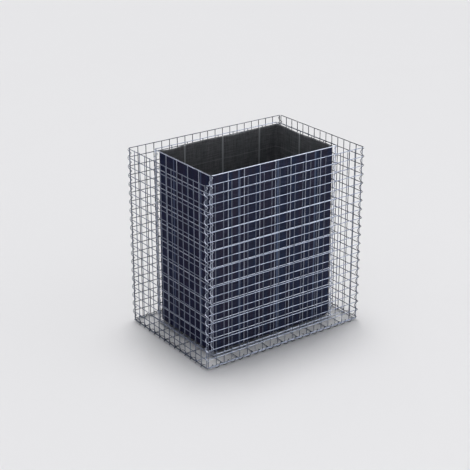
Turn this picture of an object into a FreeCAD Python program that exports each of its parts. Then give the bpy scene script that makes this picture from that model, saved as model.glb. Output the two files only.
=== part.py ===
import FreeCAD, Part
import math
import os

os.makedirs("parts", exist_ok=True)
V = FreeCAD.Vector

# Driving dimensions, in millimetres
length = 1000.0  # outer basket along X, between its edge wires
width = 700.0  # outer basket along Y
height = 1000.0  # both baskets
stone_gap = 100.0  # between the baskets, for the stone filling
bay = 100.0  # cell of the inner basket and of the base mesh
cells_per_bay = 2  # the outer basket has finer cells, and a spiral turns once in each of them
wire = 4.0  # thickness of the galvanised wire
corner_step = 6.0  # a panel stands this far outside its neighbour's end wire
seat_gap = 0.3  # clearance between pieces that rest on or in each other
liner_wall = 2.0  # thickness of the fabric
liner_drop = 3.0  # rim of the fabric below the inner top wire

# Sizes that follow
# Whole bays fit each size, and the inner basket stands on wires of the base mesh
bay_x, bay_y, bay_z = (size / round(size / bay) for size in (length, width, height))
stone_bays = round(stone_gap / bay)

# The spirals enclose a panel's edge wire, which lies outside its cross wires, and its neighbour's
spiral_bore = corner_step + 2 * wire + 2 * seat_gap
spiral_run = spiral_bore + wire  # centre line across the coil
spiral_reach = spiral_run / 2 + wire / 2  # from the coil's axis to its outside

# Heights above the ground, where the base spirals lie
base_lower_z = wire + seat_gap + wire / 2
base_upper_z = base_lower_z + wire
outer_bottom_z = base_lower_z + corner_step
inner_bottom_z = base_upper_z + wire + seat_gap


class Basket:
    """One of the two wire baskets: how many bays it is set in, its cells to a bay, its lowest wire."""

    def __init__(self, name, bays_in, cells, bottom_z):
        self.name = name
        self.half_x = length / 2 - bays_in * bay_x
        self.half_y = width / 2 - bays_in * bay_y
        self.cells = cells
        self.bottom_z = bottom_z


outer = Basket("outer", 0, cells_per_bay, outer_bottom_z)
inner = Basket("inner", stone_bays, 1, inner_bottom_z)


def spaced(first, last, step):
    """Evenly spaced places from first to last."""
    count = round((last - first) / step)
    return [first + i * (last - first) / count for i in range(count + 1)]


def straight_wire(start, end):
    """A straight wire from start to end, square in section."""
    run = end - start
    along = V(run).normalize()
    side = V(along.z, along.x, along.y) * (wire / 2)
    up = along.cross(side)
    corners = [start + side + up, start - side + up, start - side - up, start + side - up]
    return Part.Face(Part.makePolygon(corners + corners[:1])).extrude(run)


def mesh_wires(half_a, a_places, half_b, b_places, place):
    """Crossing wires of a welded mesh; place(a, b, layer) gives a point, layer 1 lies on layer 0."""
    end_a = half_a + wire / 2
    end_b = half_b + wire / 2
    wires = [straight_wire(place(a, -end_b, 0), place(a, end_b, 0)) for a in a_places]
    wires += [straight_wire(place(-end_a, b, 1), place(end_a, b, 1)) for b in b_places]
    return wires


def side_panel(half_length, step, distance, basket):
    """A welded panel on the -Y side: upright wires inside, level wires welded outside them."""
    middle_z = basket.bottom_z + height / 2
    plane_y = -distance - corner_step

    def place(a, b, layer):
        return V(a, plane_y - layer * wire, middle_z + b)

    uprights = spaced(-half_length, half_length, step / basket.cells)
    levels = spaced(-height / 2, height / 2, bay_z / basket.cells)
    return Part.makeCompound(mesh_wires(half_length, uprights, height / 2, levels, place))


def base_panel():
    """The welded base mesh under both baskets: the wires along Y below, those along X on them."""

    def place(a, b, layer):
        return V(a, b, base_lower_z + layer * wire)

    across = spaced(-outer.half_x, outer.half_x, bay_x)
    along = spaced(-outer.half_y, outer.half_y, bay_y)
    return Part.makeCompound(mesh_wires(outer.half_x, across, outer.half_y, along, place))


def strand_half_depth(quarter):
    """Half the height of a sloping strand that rises by quarter on its way across the coil."""
    return wire / 2 / math.cos(math.atan2(quarter, spiral_run))


def spiral(first, last, quarter):
    """A left-hand spiral about Z, in straight quarter turns numbered from first to last.

    Quarter 0 starts at height 0 in the corner towards +X and -Y, and each rises by quarter.
    """
    corners = [(1, -1), (-1, -1), (-1, 1), (1, 1)]
    half_depth = strand_half_depth(quarter)
    near = spiral_bore / 2
    far = near + wire

    def section(number):
        x, y = corners[number % 4]
        z = number * quarter
        return [
            V(x * near, y * near, z - half_depth),
            V(x * far, y * far, z - half_depth),
            V(x * far, y * far, z + half_depth),
            V(x * near, y * near, z + half_depth),
        ]

    def face(points):
        return Part.Face(Part.makePolygon(points + points[:1]))

    sections = [section(number) for number in range(first, last + 1)]
    faces = [face(sections[0]), face(sections[-1])]
    for low, high in zip(sections, sections[1:]):
        for i in range(4):
            j = (i + 1) % 4
            faces.append(face([low[i], low[j], high[j]]))
            faces.append(face([low[i], high[j], high[i]]))
    return Part.makeSolid(Part.makeShell(faces))


def corner_spiral(half_x, half_y, bottom_z):
    """The upright spiral of the front left corner, which rests on the front panel's level wires."""
    quarter = bay_z / cells_per_bay / 4
    half_depth = strand_half_depth(quarter)
    # each turn clears the level wire under it, also where it runs inwards over that wire
    fall = quarter * (wire + seat_gap) / spiral_run
    lift = wire / 2 + seat_gap + half_depth + fall
    room = height - wire / 2 - seat_gap - half_depth - lift
    coil = spiral(0, math.floor(room / quarter), quarter)
    offset = corner_step + wire / 2 + seat_gap - spiral_bore / 2
    coil.translate(V(-half_x - offset, -half_y - offset, bottom_z + lift))
    return coil


def base_spiral(half_length, step, distance):
    """The level spiral that joins a side panel's lowest wire to the base mesh, on the -Y side."""
    quarter = step / cells_per_bay / 4
    count = round(2 * half_length / quarter)
    coil = spiral(2, count - 1, quarter)
    # its axis turns from Z to X, and its bottom run lies on the ground under the mesh crossings
    coil.rotate(V(0, 0, 0), V(1, 1, 1), 120)
    coil.translate(
        V(
            -half_length - quarter / 2,
            -distance - (corner_step + wire) / 2,
            spiral_reach,
        )
    )
    return coil


def octagon(half_x, half_y, cut, z):
    """A rectangle with its corners cut, as a closed wire."""
    points = []
    for sx, sy in ((1, -1), (1, 1), (-1, 1), (-1, -1)):
        pair = [
            V(sx * (half_x - cut), sy * half_y, z),
            V(sx * half_x, sy * (half_y - cut), z),
        ]
        points += pair if sx * sy < 0 else pair[::-1]
    return Part.makePolygon(points + points[:1])


def fabric_liner():
    """The fabric bag for the soil: it stands on the base mesh, clear of the inner spirals."""
    out = corner_step - wire / 2 - seat_gap
    half_x = inner.half_x + out
    half_y = inner.half_y + out
    floor_z = base_upper_z + wire / 2 + seat_gap
    rim_z = inner.bottom_z + height - liner_drop
    clear = seat_gap * math.sqrt(2)

    corner_inward = spiral_reach - (corner_step + wire / 2 + seat_gap - spiral_bore / 2)
    corner_cut = 2 * (corner_inward + out) + clear
    base_inward = spiral_reach - (corner_step + wire) / 2 + out
    base_cut = base_inward + 2 * spiral_reach - floor_z + clear

    def bag(inset, low_z, high_z):
        # the cut edges move in by the same thickness as the walls
        shrink = inset * (2 - math.sqrt(2))
        cut = corner_cut - shrink
        edge = base_cut - shrink
        foot = octagon(half_x - inset - edge, half_y - inset - edge, cut - shrink, low_z)
        waist = octagon(half_x - inset, half_y - inset, cut, low_z + edge)
        rim = octagon(half_x - inset, half_y - inset, cut, high_z)
        return Part.makeLoft([foot, waist], True, True).fuse(Part.makeLoft([waist, rim], True, True))

    cloth = bag(0, floor_z, rim_z).cut(bag(liner_wall, floor_z + liner_wall, rim_z + 1))
    return cloth.removeSplitter()


def build_nodes():
    """All sub-parts by name; each side repeats the -Y side, turned about Z."""
    nodes = {"base_panel": base_panel(), "fabric_liner": fabric_liner()}
    sides = (("front", "front_left"), ("right", "front_right"), ("back", "back_right"), ("left", "back_left"))
    for basket in (outer, inner):
        for turn, (side, corner) in enumerate(sides):
            half_length, step, distance = basket.half_x, bay_x, basket.half_y
            if turn % 2:
                half_length, step, distance = basket.half_y, bay_y, basket.half_x
            pieces = {
                f"{basket.name}_{side}_panel": side_panel(half_length, step, distance, basket),
                f"{basket.name}_{corner}_spiral": corner_spiral(half_length, distance, basket.bottom_z),
                f"{basket.name}_{side}_base_spiral": base_spiral(half_length, step, distance),
            }
            for name, shape in pieces.items():
                shape.rotate(V(0, 0, 0), V(0, 0, 1), 90 * turn)
                nodes[name] = shape
    return nodes


for name, shape in build_nodes().items():
    shape.exportStep(f"parts/{name}.step")
    box = shape.BoundBox
    print(f"{name}: {len(shape.Solids)} solids, {shape.Volume / 1000:.1f} cm3, valid {shape.isValid()},"
          f" X {box.XMin:.1f} to {box.XMax:.1f}, Y {box.YMin:.1f} to {box.YMax:.1f},"
          f" Z {box.ZMin:.1f} to {box.ZMax:.1f}")
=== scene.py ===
# %% [markdown]
# # A gabion planter
# This lesson dresses a wire planter. It is two baskets of welded wire mesh, one inside the other,
# with a gap for stones between them and a bag of woven black fabric for the soil in the middle.
# The measured model comes first, because every new piece takes its place from it.

# %% Load the measured model
import math

import bpy
import numpy as np
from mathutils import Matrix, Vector, noise


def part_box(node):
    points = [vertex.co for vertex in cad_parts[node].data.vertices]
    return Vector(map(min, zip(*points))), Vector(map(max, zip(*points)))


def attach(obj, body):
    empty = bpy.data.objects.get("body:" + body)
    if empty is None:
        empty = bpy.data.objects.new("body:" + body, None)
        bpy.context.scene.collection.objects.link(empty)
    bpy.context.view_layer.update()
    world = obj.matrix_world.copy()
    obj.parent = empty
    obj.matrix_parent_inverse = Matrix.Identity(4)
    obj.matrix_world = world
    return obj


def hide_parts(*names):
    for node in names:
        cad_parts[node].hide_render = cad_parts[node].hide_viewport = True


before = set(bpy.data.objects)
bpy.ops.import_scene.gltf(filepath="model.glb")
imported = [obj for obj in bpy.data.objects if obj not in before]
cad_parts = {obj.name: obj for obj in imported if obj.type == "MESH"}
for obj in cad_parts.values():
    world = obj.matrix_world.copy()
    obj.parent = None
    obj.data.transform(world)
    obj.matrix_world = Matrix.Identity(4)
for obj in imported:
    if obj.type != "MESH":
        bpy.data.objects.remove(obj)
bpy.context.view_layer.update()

# %% [markdown]
# ## Sizes
# All lengths in this file are in metres. The wire is 4 mm thick. The outer mesh has 50 mm cells,
# the inner mesh and the base have 100 mm cells, and each spiral turns once in 50 mm. The spirals
# are round, and about as wide as the two wires that each of them goes round.

# %% The sizes that several pieces share
WIRE_RADIUS = 0.002
WIRE_SIDES = 12
FINE_CELL = 0.05
COARSE_CELL = 0.1
SPIRAL_PITCH = 0.05
STRAND_RADIUS = 0.0016  # the wire that is wound is a little thinner, so that it can be screwed in
STRAND_SIDES = 10
CORNER_RADIUS_OF_COIL = 0.009  # centre line of an upright spiral
BASE_RADIUS_OF_COIL = 0.0101  # centre line of a level spiral, whose two wires are further apart
SPIRAL_STEPS = 20  # rings to a turn
CUT_BEVEL = 0.0004  # a wire sheared to length has a slightly crushed edge
print("cells:", FINE_CELL, "and", COARSE_CELL, "wire:", 2 * WIRE_RADIUS)

# %% [markdown]
# ## Meshes from rings
# A wire is a tube: a row of rings of points, joined by quads, with a cap at each end. One helper
# collects any number of tubes and spots into one mesh, so a whole welded panel is a single piece.
# Each face remembers its material: 0 for the drawn wire, 1 for a sheared end, 2 for a weld.

# %% A collector of tubes and spots
DRAWN, SHEARED, WELDED = 0, 1, 2


class MeshParts:
    """Points and faces that become one mesh."""

    def __init__(self):
        self.points = []
        self.faces = []
        self.finishes = []
        self.count = 0

    def add(self, points, faces, finishes):
        self.points.append(np.asarray(points, float))
        self.faces += [tuple(self.count + i for i in face) for face in faces]
        self.finishes += finishes
        self.count += len(points)

    def tube(self, rings):
        """Rings of equal length, from one sheared end to the other."""
        sides = len(rings[0])
        last = len(rings) - 1
        faces = [tuple(range(sides))[::-1]]
        finishes = [SHEARED]
        for i in range(last):
            low, high = i * sides, (i + 1) * sides
            for j in range(sides):
                k = (j + 1) % sides
                faces.append((low + j, low + k, high + k, high + j))
                finishes.append(SHEARED if i in (0, last - 1) else DRAWN)
        faces.append(tuple(last * sides + j for j in range(sides)))
        finishes.append(SHEARED)
        self.add(np.concatenate(rings), faces, finishes)

    def piece(self, name, materials):
        """The mesh as an object, smooth, with its materials."""
        mesh = bpy.data.meshes.new(name)
        mesh.from_pydata(np.concatenate(self.points).tolist(), [], self.faces)
        for material in materials:
            mesh.materials.append(material)
        mesh.polygons.foreach_set("material_index", self.finishes)
        mesh.polygons.foreach_set("use_smooth", [True] * len(self.faces))
        mesh.validate()
        made = bpy.data.objects.new(name, mesh)
        bpy.context.scene.collection.objects.link(made)
        return made


def ring(centre, across, up, radius, sides):
    """Points of a circle around centre, in the plane of two unit vectors."""
    turn = np.linspace(0, 2 * math.pi, sides, endpoint=False)[:, None]
    return centre + radius * (np.cos(turn) * across + np.sin(turn) * up)


AXES = np.eye(3)
X, Y, Z = AXES
print("a ring of wire has", len(ring(np.zeros(3), X, Y, WIRE_RADIUS, WIRE_SIDES)), "points")

# %% [markdown]
# ## Straight wires
# The mesh is made by a machine that lays wires across each other and presses them together under
# current. Each wire is drawn straight and round and sheared at both ends. A curve with a round
# bevel would do, but a tube of rings can be crushed a little at its ends. A second ring near each
# end keeps the smooth shading of the long tube clean.

# %% A straight wire
END_ROOM = 0.002


def straight_wire(parts, start, end):
    """A round wire between two points that differ along one axis."""
    run = end - start
    length = np.linalg.norm(run)
    along = run / length
    axis = int(np.argmax(np.abs(along)))
    across, up = AXES[(axis + 1) % 3], AXES[(axis + 2) % 3]
    crushed = WIRE_RADIUS - CUT_BEVEL
    stations = [
        (0, crushed),
        (CUT_BEVEL, WIRE_RADIUS),
        (END_ROOM, WIRE_RADIUS),
        (length - END_ROOM, WIRE_RADIUS),
        (length - CUT_BEVEL, WIRE_RADIUS),
        (length, crushed),
    ]
    parts.tube([ring(start + along * at, across, up, size, WIRE_SIDES) for at, size in stations])


sample = MeshParts()
straight_wire(sample, np.zeros(3), X)
print("a wire has", len(sample.faces), "faces")

# %% [markdown]
# ## Welds
# Where two wires cross, the metal melts and squeezes out into a small bead. Joining the two tubes
# with a boolean would cost far more, and the bead would still be missing, so a flattened ball of
# few faces lies between them. No two beads are quite alike, and noise makes them differ in size.

# %% A weld
WELD_LENGTH = 0.0024
WELD_DEPTH = 0.0013


def spot_shape(sides=8, rows=5):
    """A unit ball of few faces, flattened later into a weld."""
    points = [(0, 0, -1)]
    for row in range(1, rows):
        tilt = math.pi * row / rows - math.pi / 2
        reach, height = math.cos(tilt), math.sin(tilt)
        for side in range(sides):
            turn = 2 * math.pi * side / sides
            points.append((reach * math.cos(turn), reach * math.sin(turn), height))
    points.append((0, 0, 1))
    faces = [(0, 1 + (j + 1) % sides, 1 + j) for j in range(sides)]
    for row in range(rows - 2):
        low = 1 + row * sides
        high = low + sides
        for j in range(sides):
            k = (j + 1) % sides
            faces.append((low + j, low + k, high + k, high + j))
    low = 1 + (rows - 2) * sides
    faces += [(low + j, low + (j + 1) % sides, len(points) - 1) for j in range(sides)]
    return np.array(points), faces


SPOT_POINTS, SPOT_FACES = spot_shape()


def weld(parts, centre, normal_axis, size):
    """The bead between two crossing wires."""
    scale = np.full(3, WELD_LENGTH * size)
    scale[normal_axis] = WELD_DEPTH
    order = [(normal_axis + 1) % 3, (normal_axis + 2) % 3, normal_axis]
    points = np.zeros_like(SPOT_POINTS)
    points[:, order] = SPOT_POINTS
    parts.add(centre + points * scale, SPOT_FACES, [WELDED] * len(SPOT_FACES))


print("a weld has", len(SPOT_FACES), "faces")

# %% [markdown]
# ## A welded panel
# A panel fills the box of its node. Its upright wires lie inside and its level wires outside, one
# wire thickness apart, so the box and the number of cells give every wire. An array modifier could
# repeat one wire, but worked-out places put each weld exactly on its crossing. The base mesh is
# the same thing lying down: its wires along Y lie below and those along X on top of them.

# %% Build a panel from its box
WELD_SPREAD = 0.15  # the largest and smallest weld differ this much from the usual one
WELD_STEP = 0.7  # step through the noise from one weld to the next


def places(low, high, cell):
    """Centre lines of the wires between two faces of the box."""
    first, last = low + WIRE_RADIUS, high - WIRE_RADIUS
    return np.linspace(first, last, round((last - first) / cell) + 1)


def welded_panel(node, cell, normal_axis, outward):
    """Wires and welds of one mesh, the second set of wires outward of the first, 1 or -1."""
    low, high = (np.array(corner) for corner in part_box(node))
    a, b = [axis for axis in range(3) if axis != normal_axis]
    under, over = low[normal_axis] + WIRE_RADIUS, high[normal_axis] - WIRE_RADIUS
    if outward < 0:
        under, over = over, under
    parts = MeshParts()
    a_places, b_places = places(low[a], high[a], cell), places(low[b], high[b], cell)

    def point(a_value, b_value, height):
        made = np.zeros(3)
        made[[a, b, normal_axis]] = a_value, b_value, height
        return made

    for value in a_places:
        straight_wire(parts, point(value, low[b], under), point(value, high[b], under))
    for value in b_places:
        straight_wire(parts, point(low[a], value, over), point(high[a], value, over))
    for i, a_value in enumerate(a_places):
        for j, b_value in enumerate(b_places):
            drift = noise.noise(Vector((i * WELD_STEP, j * WELD_STEP, cell)))
            centre = point(a_value, b_value, (under + over) / 2)
            weld(parts, centre, normal_axis, 1 + WELD_SPREAD * drift)
    return parts


SIDES = {"front": (1, -1), "right": (0, 1), "back": (1, 1), "left": (0, -1)}
panels = {"base_panel": welded_panel("base_panel", COARSE_CELL, 2, 1)}
for basket, cell in (("outer", FINE_CELL), ("inner", COARSE_CELL)):
    for side, (axis, outward) in SIDES.items():
        node = f"{basket}_{side}_panel"
        panels[node] = welded_panel(node, cell, axis, outward)
print({name: len(parts.faces) for name, parts in panels.items()})

# %% [markdown]
# ## The spirals
# A spiral is one wire wound into a loose left-hand coil. It is screwed in along a corner from one
# end, so that it holds the edge wires of two panels together. A coil could be a bevelled curve,
# but a tube built ring by ring keeps its section exact. The ring's plane follows the strand: one
# direction points away from the coil's axis, and the other is square to that and to the run.

# %% A coil
def coil(origin, along, first, second, start, length, reach):
    """A left-hand coil from origin along a unit vector, reach from its axis to its centre line.

    first and second are the directions of angle 0 and 90 degrees, start is the first angle.
    """
    rise = SPIRAL_PITCH / (2 * math.pi)
    stretch = math.hypot(reach, rise)
    count = round(length / SPIRAL_PITCH * SPIRAL_STEPS)
    run = length * stretch / rise
    bevel = CUT_BEVEL / run
    shares = [0, bevel, *np.linspace(0, 1, count + 1)[1:-1], 1 - bevel, 1]
    rings = []
    for share in shares:
        angle = start - 2 * math.pi * share * length / SPIRAL_PITCH
        outward = math.cos(angle) * first + math.sin(angle) * second
        backward = math.sin(angle) * first - math.cos(angle) * second
        heading = (backward * reach + along * rise) / stretch
        radius = STRAND_RADIUS - (CUT_BEVEL if share in (0, 1) else 0)
        centre = origin + along * share * length + outward * reach
        rings.append(ring(centre, outward, np.cross(heading, outward), radius, STRAND_SIDES))
    parts = MeshParts()
    parts.tube(rings)
    return parts


for reach in (CORNER_RADIUS_OF_COIL, BASE_RADIUS_OF_COIL):
    print("strand to the turn:", round(math.hypot(2 * math.pi * reach, SPIRAL_PITCH), 4))

# %% [markdown]
# An upright spiral starts just above the lowest level wire. Wherever level wires end at the corner,
# it passes outside them, and halfway between them it passes inside the corner, through the cells.
# Going round the planter, each corner is a quarter turn further, and so is its spiral. Its axis
# lies almost halfway between the two end wires, further out than the middle of its node both ways.

# %% Upright spirals in the corners
QUARTER_TURNS = [(X, Y), (Y, -X), (-X, -Y), (-Y, X)]
STRAND_HALF = 0.0024  # half the height of the sloping strand in the node
OUTWARD = 0.0028  # from the middle of the node to the axis, both ways
AWAY = math.radians(-135)  # the angle that points away from the planter
turns = {}
for basket in ("outer", "inner"):
    wire_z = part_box(f"{basket}_front_panel")[0][2] + WIRE_RADIUS
    corners = ("front_left", "front_right", "back_right", "back_left")
    for corner, (first, second) in zip(corners, QUARTER_TURNS):
        node = f"{basket}_{corner}_spiral"
        low, high = (np.array(p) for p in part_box(node))
        bottom = np.array([(low[0] + high[0]) / 2, (low[1] + high[1]) / 2, low[2] + STRAND_HALF])
        bottom -= OUTWARD * (first + second)
        length = high[2] - low[2] - 2 * STRAND_HALF
        start = AWAY - 2 * math.pi * (bottom[2] - wire_z) / SPIRAL_PITCH
        turns[node] = coil(bottom, Z, first, second, start, length, CORNER_RADIUS_OF_COIL)
print("upright spirals:", len(turns))

# %% [markdown]
# A base spiral lies on the ground. The bottom of each turn passes under a crossing of the mesh and
# the top lies halfway between two uprights. It holds the lowest wire of a side panel and the wire
# of the base that runs along it. On the left and right sides that is one of the base's lower
# wires, and there the coil is a little too tight: it cuts 0.9 mm into the wire in each turn.

# %% Level spirals along the base
DOWN = math.radians(-90)
for basket in ("outer", "inner"):
    for side, (along, inward) in zip(("front", "right", "back", "left"), QUARTER_TURNS):
        node = f"{basket}_{side}_base_spiral"
        low, high = (np.array(p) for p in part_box(node))
        middle = (low + high) / 2
        half = abs((high - low) @ along) / 2 - STRAND_HALF
        origin = middle - along * half
        origin[2] = BASE_RADIUS_OF_COIL + STRAND_RADIUS
        # the bottom of a turn is at every whole pitch from the middle of the side
        start = DOWN + 2 * math.pi * half / SPIRAL_PITCH
        turns[node] = coil(origin, along, inward, Z, start, 2 * half, BASE_RADIUS_OF_COIL)
print("all spirals:", len(turns), "faces each:", {len(parts.faces) for parts in turns.values()})

# %% [markdown]
# ## The fabric bag
# The bag is sewn from woven polypropylene tape, the cloth that is laid under gravel to keep weeds
# down. It has no frame, so it leans on the inner mesh, its corners are round, its bottom edge
# curves in, and its rim is wavy. Cloth simulation could find such a shape. But the bag stands
# almost still between the wires, so it is built row by row, with gentle folds that only go inwards,
# and it gets its thickness at the end. The bottom corners go round the spirals with a wide curve.

# %% The bag's outline at one height
BAG_LOW, BAG_HIGH = (np.array(p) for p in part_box("fabric_liner"))
HALF_X, HALF_Y, RIM_Z = BAG_HIGH
FLOOR_Z = BAG_LOW[2]
CORNER_RADIUS = 0.029
SHARPEST_CORNER = 0.004
FOOT_RADIUS = 0.033
LONG_STEPS = 76
SHORT_STEPS = 46
ARC_STEPS = 8


def outline(inset):
    """Points, outward directions and wall numbers around a rounded rectangle, set in by inset."""
    radius = max(CORNER_RADIUS - inset, SHARPEST_CORNER)
    x, y = HALF_X - inset - radius, HALF_Y - inset - radius
    centres = [np.array(p) for p in ((x, -y), (x, y), (-x, y), (-x, -y))]
    rows = []
    for wall in range(4):
        steps = LONG_STEPS if wall % 2 == 0 else SHORT_STEPS
        before, after = centres[wall - 1], centres[wall]
        facing = math.radians(-90 + 90 * wall)
        out = np.array([math.cos(facing), math.sin(facing)])
        for i in range(steps):
            rows.append((before + (after - before) * i / steps + out * radius, out, wall))
        for i in range(ARC_STEPS):
            angle = facing + math.radians(90) * i / ARC_STEPS
            out = np.array([math.cos(angle), math.sin(angle)])
            rows.append((after + out * radius, out, wall if i < ARC_STEPS / 2 else (wall + 1) % 4))
    points, outs, walls = zip(*rows)
    return np.array(points), np.array(outs), list(walls)


WALLS = outline(0)[2]  # front 0, right 1, back 2, left 3
COLUMNS = len(WALLS)
print("columns around the bag:", COLUMNS)

# %% [markdown]
# The folds come from smooth noise that is stretched along the height, because cloth that hangs or
# leans makes upright folds. They are deepest at the rim, where nothing holds the cloth, and fade
# towards the bottom. The rim also dips a little between the places where it was cut.

# %% Folds and rim
# each kind of fold: its bumps to a metre along the wall and up it, and its place in the noise
WIDE, WIDE_DEPTH = (4.1, 1.3, 3.0), 0.009
NARROW, NARROW_DEPTH = (14, 2.2, 9.0), 0.0045
SMALL, SMALL_DEPTH = (45, 18, 0.0), 0.001
RIPPLE, RIPPLE_DEPTH = (11, 0.0, 1.7), 0.0025
LEAST_DEPTH = 0.0005
LOOSE_FROM = 0.55  # share of the height from which the wide folds grow towards the rim
WIDE_BELOW = 0.25  # part of their depth that the wide folds have below it
FOLDS_AT_FOOT = 0.35  # part of their depth that wide and narrow folds have at the foot
# where the rim dips: place on the outline, width and depth
RIM_DIPS = [(-0.31, 0.2537, 0.10, 0.009), (0.11, 0.2537, 0.12, 0.005), (0.4037, 0.05, 0.14, 0.002)]


def swell(x, y, height, kind):
    """Smooth noise from about 0 to 1, for one kind of fold."""
    along, up, place = kind
    return 0.5 + 0.5 * noise.noise(Vector((x * along, y * along, height * up + place)))


def fold(x, y, height):
    """How far the cloth stands in from its place."""
    share = (height - FLOOR_Z) / (RIM_Z - FLOOR_Z)
    loose = WIDE_BELOW + (1 - WIDE_BELOW) * max(0.0, share - LOOSE_FROM) / (1 - LOOSE_FROM)
    wide = WIDE_DEPTH * swell(x, y, height, WIDE) * loose
    narrow = NARROW_DEPTH * swell(x, y, height, NARROW)
    small = SMALL_DEPTH * swell(x, y, height, SMALL)
    return LEAST_DEPTH + (wide + narrow) * min(1, FOLDS_AT_FOOT + share) + small


def rim_height(x, y):
    """The rim's height over the bag's outline."""
    ripple = RIPPLE_DEPTH * swell(x, y, 0.0, RIPPLE)
    dips = sum(
        depth * math.exp(-((x - dip_x) ** 2 + (y - dip_y) ** 2) / (2 * (width / 2) ** 2))
        for dip_x, dip_y, width, depth in RIM_DIPS
    )
    return RIM_Z - ripple - dips


print("fold at the rim's middle:", round(fold(0, HALF_Y, RIM_Z), 4))

# %% [markdown]
# The bag's points lie in rows, from the rim down the walls, round the foot and in over the floor.
# The floor sinks a little between the base wires that it lies on.

# %% Points of the bag
WALL_ROWS = 84
FOOT_ROWS = 8
FLOOR_ROWS = 22
SIDE_ROWS = WALL_ROWS + FOOT_ROWS
ALL_ROWS = SIDE_ROWS + FLOOR_ROWS
FLOOR_PATCH = 0.03  # half the width of the patch that closes the floor
FLOOR_SAG = 0.0006
FOOT_FADE = 0.08  # below this height over the floor, the folds fade away


def row_inset(row):
    """How far a row lies in from the bag's outline."""
    if row <= WALL_ROWS:
        return 0.0
    if row <= SIDE_ROWS:
        return FOOT_RADIUS * (1 - math.cos(math.radians(90) * (row - WALL_ROWS) / FOOT_ROWS))
    return FOOT_RADIUS + (HALF_Y - FOOT_RADIUS - FLOOR_PATCH) * (row - SIDE_ROWS) / FLOOR_ROWS


def row_height(row, x, y):
    """The cloth's height in a row, over a place on its outline."""
    if row <= WALL_ROWS:
        foot = FLOOR_Z + FOOT_RADIUS
        return foot + (rim_height(x, y) - foot) * (1 - row / WALL_ROWS)
    if row <= SIDE_ROWS:
        turn = math.radians(90) * (row - WALL_ROWS) / FOOT_ROWS
        return FLOOR_Z + FOOT_RADIUS * (1 - math.sin(turn))
    wave = math.cos(2 * math.pi * (y + COARSE_CELL / 2) / COARSE_CELL)
    return FLOOR_Z + FLOOR_SAG * (1 + wave) / 2


bag_points = []
for row in range(ALL_ROWS + 1):
    flat, outs, _ = outline(row_inset(row))
    for (x, y), out in zip(flat, outs):
        z = row_height(row, x, y)
        depth = fold(x, y, z) * min(1, max(0.0, (z - FLOOR_Z) / FOOT_FADE))
        bag_points.append((x - out[0] * depth, y - out[1] * depth, z))
print("points of the bag:", len(bag_points))

# %% [markdown]
# The cut of the cloth matters for its weave: one long strip goes down the front wall, across the
# floor and up the back wall, and two end panels are sewn to it. So the flat coordinates run along X
# on the strip and along Y on the ends. The weaver's marking threads, 250 mm apart, follow them.

# %% Faces of the bag, and its flat coordinates
MARK_AT = (0.023, 0.039, 0.023, 0.095)  # where a marking thread crosses each wall


def flat_place(index, wall):
    """Where a point lay on the cloth before it was sewn. The floor has no wall number."""
    x, y, z = bag_points[index]
    if wall is None:
        return x - MARK_AT[0], y
    bend = index // COLUMNS - WALL_ROWS
    if bend > 0:
        # round the foot, the cloth's length counts instead of its height
        z = FLOOR_Z + FOOT_RADIUS * (1 - math.radians(90) * bend / FOOT_ROWS)
    return (x if wall % 2 == 0 else y) - MARK_AT[wall], z


faces = []
flat_places = []
for i in range(ALL_ROWS):
    upper, lower = i * COLUMNS, (i + 1) * COLUMNS
    for j in range(COLUMNS):
        k = (j + 1) % COLUMNS
        faces.append((upper + j, lower + j, lower + k, upper + k))
        wall = WALLS[j] if i < SIDE_ROWS else None
        flat_places += [flat_place(index, wall) for index in faces[-1]]
# one face closes the floor, and it goes round the other way so that it faces down
faces.append(tuple(ALL_ROWS * COLUMNS + j for j in reversed(range(COLUMNS))))
flat_places += [flat_place(index, None) for index in faces[-1]]

bag_mesh = bpy.data.meshes.new("fabric_bag")
bag_mesh.from_pydata(bag_points, [], faces)
layer = bag_mesh.uv_layers.new(name="cut")
layer.data.foreach_set("uv", np.array(flat_places, np.float32).ravel())
bag_mesh.polygons.foreach_set("use_smooth", [True] * len(faces))
bag = bpy.data.objects.new("fabric_bag", bag_mesh)
bpy.context.scene.collection.objects.link(bag)
print("faces of the bag:", len(faces))

# %% [markdown]
# ## Colours and nodes
# Colours are written as they look on a screen, in hex, and one function turns them into the linear
# values that a shader mixes. One more function adds a node, sets it up and links it. Where an input
# is given a node, it takes that node's first output.

# %% Helpers for materials
def linear(code):
    """A screen colour such as #8A9099 as linear red, green, blue and alpha."""
    parts = [int(code[i : i + 2], 16) / 255 for i in (1, 3, 5)]
    return (*(p / 12.92 if p <= 0.04045 else ((p + 0.055) / 1.055) ** 2.4 for p in parts), 1.0)


def add_node(tree, kind, inputs=None, **settings):
    """A node with its settings, and each input given a value, or a link from a socket or node."""
    made = tree.nodes.new(kind)
    for name, value in settings.items():
        setattr(made, name, value)
    for name, value in (inputs or {}).items():
        if isinstance(value, bpy.types.Node):
            value = value.outputs[0]
        if isinstance(value, bpy.types.NodeSocket):
            tree.links.new(value, made.inputs[name])
        else:
            made.inputs[name].default_value = value
    return made


def new_material(name):
    """An empty material, and its node tree."""
    material = bpy.data.materials.new(name)
    material.use_nodes = True
    material.node_tree.nodes.clear()
    return material, material.node_tree


print("mid zinc grey:", [round(v, 3) for v in linear("#8A9099")])

# %% [markdown]
# ## Galvanised steel
# The wire is steel, drawn and then dipped in zinc. Fresh zinc is bright, and after some weeks in
# air it dulls to a bluish grey, not evenly but in soft patches of a few centimetres, which are a
# little rougher too. The coat is uneven like orange peel, with bumps half a millimetre apart. A
# picture of zinc could be wrapped round the wires, but noise has no seams, and its scale is set
# by a real size.

# %% A zinc coat
PATCH = 0.03  # size of the dull patches
PATCH_EDGE = 0.15  # how far from its middle, 0.5, the noise is all bright or all dull
PATCH_ROUGHNESS = 0.04  # dull patches are at most this much rougher, bright ones smoother
PEEL = 0.0005  # spacing of the bumps
PEEL_DEPTH = 0.0001


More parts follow.
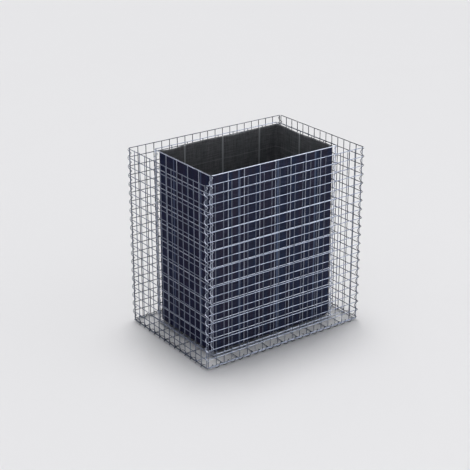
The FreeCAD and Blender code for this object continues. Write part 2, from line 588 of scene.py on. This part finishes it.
def zinc(name, bright, dull, roughness, bump):
    """A metal whose colour and roughness vary in patches, over fine bumps."""
    material, tree = new_material(name)
    place = add_node(tree, "ShaderNodeTexCoord").outputs["Object"]
    patches = add_node(
        tree,
        "ShaderNodeTexNoise",
        {"Vector": place, "Scale": 1 / PATCH, "Detail": 3.0},
    )
    spread = add_node(
        tree,
        "ShaderNodeMapRange",
        {"Value": patches, "From Min": 0.5 - PATCH_EDGE, "From Max": 0.5 + PATCH_EDGE},
    )
    colour = add_node(
        tree,
        "ShaderNodeMixRGB",
        {"Fac": spread, "Color1": linear(dull), "Color2": linear(bright)},
    )
    rough = add_node(
        tree,
        "ShaderNodeMapRange",
        {
            "Value": patches,
            "To Min": roughness + PATCH_ROUGHNESS,
            "To Max": roughness - PATCH_ROUGHNESS,
        },
    )
    peel = add_node(
        tree,
        "ShaderNodeTexNoise",
        {"Vector": place, "Scale": 1 / PEEL, "Detail": 1.0},
    )
    relief = add_node(
        tree,
        "ShaderNodeBump",
        {"Height": peel, "Strength": bump, "Distance": PEEL_DEPTH},
    )
    shader = add_node(
        tree,
        "ShaderNodeBsdfPrincipled",
        {"Base Color": colour, "Metallic": 1.0, "Roughness": rough, "Normal": relief},
    )
    add_node(tree, "ShaderNodeOutputMaterial", {"Surface": shader})
    return material


# a cut shows a rim of bare steel, and a weld bead is burnt duller than the coat
sheared = zinc("sheared_steel", "#6B6E74", "#55575C", roughness=0.55, bump=0.5)
welded = zinc("welded_steel", "#8C8F99", "#6E717B", roughness=0.55, bump=0.8)
print("cut and weld:", sheared.name, welded.name)

# %% [markdown]
# The wire has one usual coat of weathered zinc, and lighter and darker copies of it stand in for
# light and shade. The inner front and left panels are lighter, as painted highlight, the outer
# left one a little lighter, and the outer back and right ones darker, as painted shade. The
# inner spirals and the outer front left one are lighter, as painted highlight, and the outer ones
# on the right and on the ground are darker, as painted shade.

# %% Coats of wire, with painted highlight and painted shade
# each coat: its bright colour, its dull colour and its roughness
# the usual coat is weathered zinc; lighter copies are painted highlight, darker ones painted shade
COATS = {
    "galvanised_steel_with_painted_highlight": ("#C4CAD8", "#ABB1BF", 0.64),
    "galvanised_steel_with_slight_painted_highlight": ("#858C9D", "#6D7484", 0.36),
    "weathered_galvanised_steel": ("#7E8594", "#666D7C", 0.36),
    "galvanised_steel_with_painted_shade": ("#474D56", "#343A42", 0.4),
    "spiral_steel_with_painted_highlight": ("#CCD1E0", "#B0B6C6", 0.5),
    "dull_spiral_steel": ("#7C8390", "#5F6673", 0.4),
    "spiral_steel_with_painted_shade": ("#444A54", "#30353D", 0.5),
}
coats = {name: zinc(name, *values, bump=0.3) for name, values in COATS.items()}
USUAL_COAT = "weathered_galvanised_steel"
# inner front, left: painted highlight; outer left: a little; outer back, right: painted shade
PANEL_COATS = {
    "inner_front_panel": "galvanised_steel_with_painted_highlight",
    "inner_left_panel": "galvanised_steel_with_painted_highlight",
    "outer_left_panel": "galvanised_steel_with_slight_painted_highlight",
    "outer_back_panel": "galvanised_steel_with_painted_shade",
    "outer_right_panel": "galvanised_steel_with_painted_shade",
}


def spiral_coat(node):
    """A spiral's coat: lighter ones are painted highlight, darker ones painted shade."""
    # inner and outer front left spirals: painted highlight; outer right and base: painted shade
    if node.startswith("inner") or node == "outer_front_left_spiral":
        return "spiral_steel_with_painted_highlight"
    if node.endswith(("base_spiral", "right_spiral")):
        return "spiral_steel_with_painted_shade"
    return "dull_spiral_steel"


print("spirals with painted shade:", [node for node in turns if spiral_coat(node) == "spiral_steel_with_painted_shade"])

# %% [markdown]
# ## Woven polypropylene
# The cloth is woven from flat plastic tapes about 2.5 mm wide, one over and one under, so each tape
# shows as a row of small pillows. Modelled tapes would take millions of faces, so the weave is
# drawn from the cloth's flat coordinates: a checker says which tape is on top, and a rounded
# profile across that tape gives its height.

# %% The height of the weave
TAPE = 0.0025
PILLOW_ROUNDING = 0.4  # a power below 1 makes a tape flat on top and steep at its edges


def pillow(tree, place):
    """0 at a tape's edges and 1 at its middle."""
    from_edge = add_node(tree, "ShaderNodeMath", {0: place, 1: TAPE / 2}, operation="PINGPONG")
    share = add_node(tree, "ShaderNodeMath", {0: from_edge, 1: TAPE / 2}, operation="DIVIDE")
    return add_node(tree, "ShaderNodeMath", {0: share, 1: PILLOW_ROUNDING}, operation="POWER")


def weave_height(tree, cut, across, up):
    """The height of whichever tape is on top."""
    over = add_node(tree, "ShaderNodeTexChecker", {"Vector": cut, "Scale": 1 / TAPE})
    return add_node(
        tree,
        "ShaderNodeMixRGB",
        {
            "Fac": over.outputs["Fac"],
            "Color1": pillow(tree, across),
            "Color2": pillow(tree, up),
        },
    )


print("tapes to a metre:", round(1 / TAPE))

# %% [markdown]
# The tapes are black with soot against sunlight, but not all the same black. A tape's shade changes
# along its length, which shows as streaks, and the warp comes from many reels, so that bands of it
# a few centimetres wide are bluer or browner.

# %% The colour of the tapes
STREAK_WIDTH, STREAK_LENGTH = 0.007, 0.07  # a few tapes wide, and as long as one shade lasts
REEL_WIDTH, REEL_LENGTH = 0.045, 1.7  # a band of warp tapes from one reel
REEL_EDGE = 0.1  # how far from its middle, 0.5, the noise is all of one reel


def shades(tree, cut, along_x, along_y):
    """Soft differences between tapes, of the given lengths along the flat coordinates."""
    scaled = add_node(
        tree,
        "ShaderNodeMapping",
        {"Vector": cut, "Scale": (1 / along_x, 1 / along_y, 1)},
    )
    return add_node(tree, "ShaderNodeTexNoise", {"Vector": scaled, "Scale": 1.0})


def tape_colour(tree, cut, height, gap_shade_and_dark_streak, light, other):
    """Painted shade in the weave's gaps and darker streaks, light or other on top of the tapes."""
    warp = shades(tree, cut, STREAK_WIDTH, STREAK_LENGTH)
    weft = shades(tree, cut, STREAK_LENGTH, STREAK_WIDTH)
    both = add_node(tree, "ShaderNodeMath", {0: warp, 1: weft}, operation="ADD")
    streak = add_node(tree, "ShaderNodeMath", {0: both, 1: 0.5}, operation="SUBTRACT")
    # painted shade: the lower on a tape, towards the gaps, the darker
    shade = add_node(tree, "ShaderNodeMath", {0: height, 1: streak}, operation="MULTIPLY")
    reel = add_node(
        tree,
        "ShaderNodeMapRange",
        {
            "Value": shades(tree, cut, REEL_WIDTH, REEL_LENGTH),
            "From Min": 0.5 - REEL_EDGE,
            "From Max": 0.5 + REEL_EDGE,
        },
    )
    tape = add_node(
        tree,
        "ShaderNodeMixRGB",
        {"Fac": reel, "Color1": linear(light), "Color2": linear(other)},
    )
    return add_node(
        tree,
        "ShaderNodeMixRGB",
        {"Fac": shade, "Color1": linear(gap_shade_and_dark_streak), "Color2": tape},
    )


print("a streak spans", round(STREAK_WIDTH / TAPE, 1), "tapes, a reel", round(REEL_WIDTH / TAPE))

# %% [markdown]
# Every 250 mm paler tapes are woven in, which helps to cut and plant in straight rows. Those of
# the warp stand out, and those of the weft are half as wide and only just show. They could be
# strips of their own, but they lie in the same weave, so they only change its colour.

# %% The marking threads
MARK_SPACING = 0.25
MARK_WIDTH = 0.01
WEFT_MARK_AT = 0.88  # height of one level mark on the walls


def marking_threads(tree, across, up, weft_share):
    """1 on a warp mark, weft_share on a weft mark and 0 elsewhere."""
    from_warp = add_node(
        tree, "ShaderNodeMath", {0: across, 1: MARK_SPACING / 2}, operation="PINGPONG"
    )
    on_warp = add_node(
        tree, "ShaderNodeMath", {0: from_warp, 1: MARK_WIDTH / 2}, operation="LESS_THAN"
    )
    level = add_node(tree, "ShaderNodeMath", {0: up, 1: WEFT_MARK_AT}, operation="SUBTRACT")
    from_weft = add_node(
        tree, "ShaderNodeMath", {0: level, 1: MARK_SPACING / 2}, operation="PINGPONG"
    )
    on_weft = add_node(
        tree, "ShaderNodeMath", {0: from_weft, 1: MARK_WIDTH / 4}, operation="LESS_THAN"
    )
    faint = add_node(tree, "ShaderNodeMath", {0: on_weft, 1: weft_share}, operation="MULTIPLY")
    return add_node(tree, "ShaderNodeMath", {0: on_warp, 1: faint}, operation="MAXIMUM")


print("tapes in a warp mark:", round(MARK_WIDTH / TAPE))

# %% [markdown]
# The cloth has the dull gloss of plastic, and most of that is lost in the gaps of the weave. The
# two end panels are painted darker, as painted shade, and the inside of the bag is greyer.

# %% Materials of the bag
TAPE_RELIEF = 0.0004


def woven_tape(name, gap_shade_and_dark_streak, light, other, mark, weft_share):
    """Cloth of woven tapes in three blacks, with paler marking threads."""
    material, tree = new_material(name)
    cut = add_node(tree, "ShaderNodeTexCoord").outputs["UV"]
    apart = add_node(tree, "ShaderNodeSeparateXYZ", {"Vector": cut})
    across, up = apart.outputs["X"], apart.outputs["Y"]
    height = weave_height(tree, cut, across, up)
    colour = add_node(
        tree,
        "ShaderNodeMixRGB",
        {
            "Fac": marking_threads(tree, across, up, weft_share),
            "Color1": tape_colour(tree, cut, height, gap_shade_and_dark_streak, light, other),
            "Color2": linear(mark),
        },
    )
    relief = add_node(
        tree,
        "ShaderNodeBump",
        {"Height": height, "Strength": 0.6, "Distance": TAPE_RELIEF},
    )
    shader = add_node(
        tree,
        "ShaderNodeBsdfPrincipled",
        {
            "Base Color": colour,
            "Roughness": 0.6,
            "IOR": 1.49,
            "Specular IOR Level": 0.12,
            "Normal": relief,
        },
    )
    add_node(tree, "ShaderNodeOutputMaterial", {"Surface": shader})
    return material


# each cloth: painted shade in the gaps, tapes of most reels and of the others, marks, weft share
CLOTHS = {
    "strip": ("#191D2E", "#33446A", "#473F58", "#5E6A84", 0.1),
    # the end panels' cloth is painted darker, as painted shade
    "end_panels_with_painted_shade": ("#050A1E", "#132250", "#251C48", "#46506C", 0.1),
    "inside": ("#4A4B4E", "#8F9394", "#9F9FA1", "#AEB1B3", 0.3),
}
for cloth, values in CLOTHS.items():
    bag_mesh.materials.append(woven_tape(f"woven_polypropylene_{cloth}", *values))
# the inside of an end panel looks the same as the inside of the strip
bag_mesh.materials.append(bag_mesh.materials[-1])
# the end panels take the cloth that is painted darker, as painted shade
END_PANEL = 1
for index, face in enumerate(bag_mesh.polygons):
    if index // COLUMNS < SIDE_ROWS and WALLS[index % COLUMNS] % 2 == 1:
        face.material_index = END_PANEL
print("bag materials:", [m.name for m in bag_mesh.materials])

# %% [markdown]
# The bag is one surface so far. A solidify modifier makes it a closed cloth of even thickness. The
# built surface is the outer one, and the copy on the inside takes the material two slots further.

# %% Give the cloth its thickness
CLOTH = 0.0016
thick = bag.modifiers.new("cloth thickness", "SOLIDIFY")
thick.thickness = CLOTH
thick.offset = -1
thick.material_offset = thick.material_offset_rim = 2
print("thickness:", CLOTH)

# %% [markdown]
# ## Put the pieces on the model
# Each welded panel and each spiral stands for the node it was measured from, and everything rides
# on the one body of the planter.

# %% Place the wires
for node, parts in panels.items():
    coat = coats[PANEL_COATS.get(node, USUAL_COAT)]
    piece = parts.piece(f"welded_{node}", [coat, sheared, welded])
    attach(piece, "root")
    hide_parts(node)
for node, parts in turns.items():
    piece = parts.piece(f"wound_{node}", [coats[spiral_coat(node)], sheared])
    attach(piece, "root")
    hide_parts(node)
print("pieces of wire:", len(panels) + len(turns))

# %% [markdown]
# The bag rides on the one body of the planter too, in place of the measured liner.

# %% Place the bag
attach(bag, "root")
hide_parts("fabric_liner")

# %% [markdown]
# ## Floor and studio
# The planter stands on a plain pale floor with matt paint, which takes soft shadows and mirrors
# nothing. A backdrop that curves up behind the planter would show in a view from the other side.
# So the floor is just wide, and the studio is pale near it, which ends the floor softly in a low
# view. Above, the studio is dimmer, so that the wires have dark sides.

# %% Floor
FAR = 40  # from the middle of the floor to its edges
floor_mesh = bpy.data.meshes.new("floor")
floor_mesh.from_pydata(
    [(-FAR, -FAR, 0), (FAR, -FAR, 0), (FAR, FAR, 0), (-FAR, FAR, 0)], [], [(0, 1, 2, 3)]
)
floor = bpy.data.objects.new("floor", floor_mesh)
bpy.context.scene.collection.objects.link(floor)
floor_material, floor_tree = new_material("painted_floor")
floor_shader = add_node(
    floor_tree,
    "ShaderNodeBsdfPrincipled",
    {"Base Color": linear("#E6E5E5"), "Roughness": 0.9},
)
add_node(floor_tree, "ShaderNodeOutputMaterial", {"Surface": floor_shader})
floor_mesh.materials.append(floor_material)
print("floor:", 2 * FAR, "m across")

# %% The studio's walls and ceiling
HORIZON = "#E6E6E8"
ZENITH = "#8C8E93"
PALE_UP_TO, DIM_FROM = 0.02, 0.5  # height of a direction, 0 where level and 1 straight up
world = bpy.data.worlds.new("studio")
bpy.context.scene.world = world
world.use_nodes = True
sky = world.node_tree
direction = add_node(sky, "ShaderNodeTexCoord").outputs["Generated"]
height = add_node(sky, "ShaderNodeSeparateXYZ", {"Vector": direction}).outputs["Z"]
climb = add_node(
    sky,
    "ShaderNodeMapRange",
    {"Value": height, "From Min": PALE_UP_TO, "From Max": DIM_FROM},
    interpolation_type="SMOOTHSTEP",
)
dome = add_node(
    sky,
    "ShaderNodeMixRGB",
    {"Fac": climb, "Color1": linear(HORIZON), "Color2": linear(ZENITH)},
)
sky.links.new(dome.outputs["Color"], sky.nodes["Background"].inputs["Color"])
print("studio:", HORIZON, "to", ZENITH)

# %% [markdown]
# ## Light
# The main light is a broad one from above and a little behind, which leaves a short soft shadow in
# front. One lamp could do it all, but it would either leave the wires dull or the shadow hard. So
# a softbox on the right is there for shiny surfaces alone, and draws the bright lines along the
# wires.

# %% Two lights
def add_light(name, kind, place, target):
    """A light at a place, pointing at a target."""
    light = bpy.data.lights.new(name, kind)
    made = bpy.data.objects.new(name, light)
    made.location = place
    made.rotation_mode = "QUATERNION"
    made.rotation_quaternion = (Vector(target) - Vector(place)).to_track_quat("-Z", "Y")
    bpy.context.scene.collection.objects.link(made)
    return made


softbox = add_light("right_softbox", "AREA", (3.0, -2.8, 4.4), (0, 0, 0.5))
softbox.data.size = 2.8
softbox.data.energy = 370
softbox.visible_diffuse = False

skylight = add_light("top_skylight", "SUN", (0.6, 0.95, 4.85), (0, 0, 0))
skylight.data.energy = 2.25
skylight.data.angle = math.radians(32)

bpy.context.scene.view_settings.view_transform = "Standard"
print("lights:", softbox.name, skylight.name)

# %% [markdown]
# ## Camera
# The camera stands in front of the left corner, a little over three metres up, and looks down. Its
# place comes from fitting the planter's corners to the photograph.

# %% Camera
FOCAL_PIXELS = 1227.8
FRAME_PIXELS = 470
SENSOR = 36  # width in millimetres
AZIMUTH = math.radians(-35.95)
TILT = math.radians(22.54)
camera = bpy.data.objects.new("camera", bpy.data.cameras.new("camera"))
camera.data.sensor_width = SENSOR
camera.data.lens = FOCAL_PIXELS / FRAME_PIXELS * SENSOR
camera.location = (-3.663, -4.951, 3.070)
level = math.cos(TILT)
forward = Vector((-math.sin(AZIMUTH) * level, math.cos(AZIMUTH) * level, -math.sin(TILT)))
camera.rotation_mode = "QUATERNION"
camera.rotation_quaternion = forward.to_track_quat("-Z", "Y")
camera.data.clip_end = 100
bpy.context.scene.collection.objects.link(camera)
bpy.context.scene.camera = camera
print("lens:", round(camera.data.lens, 1), "mm")
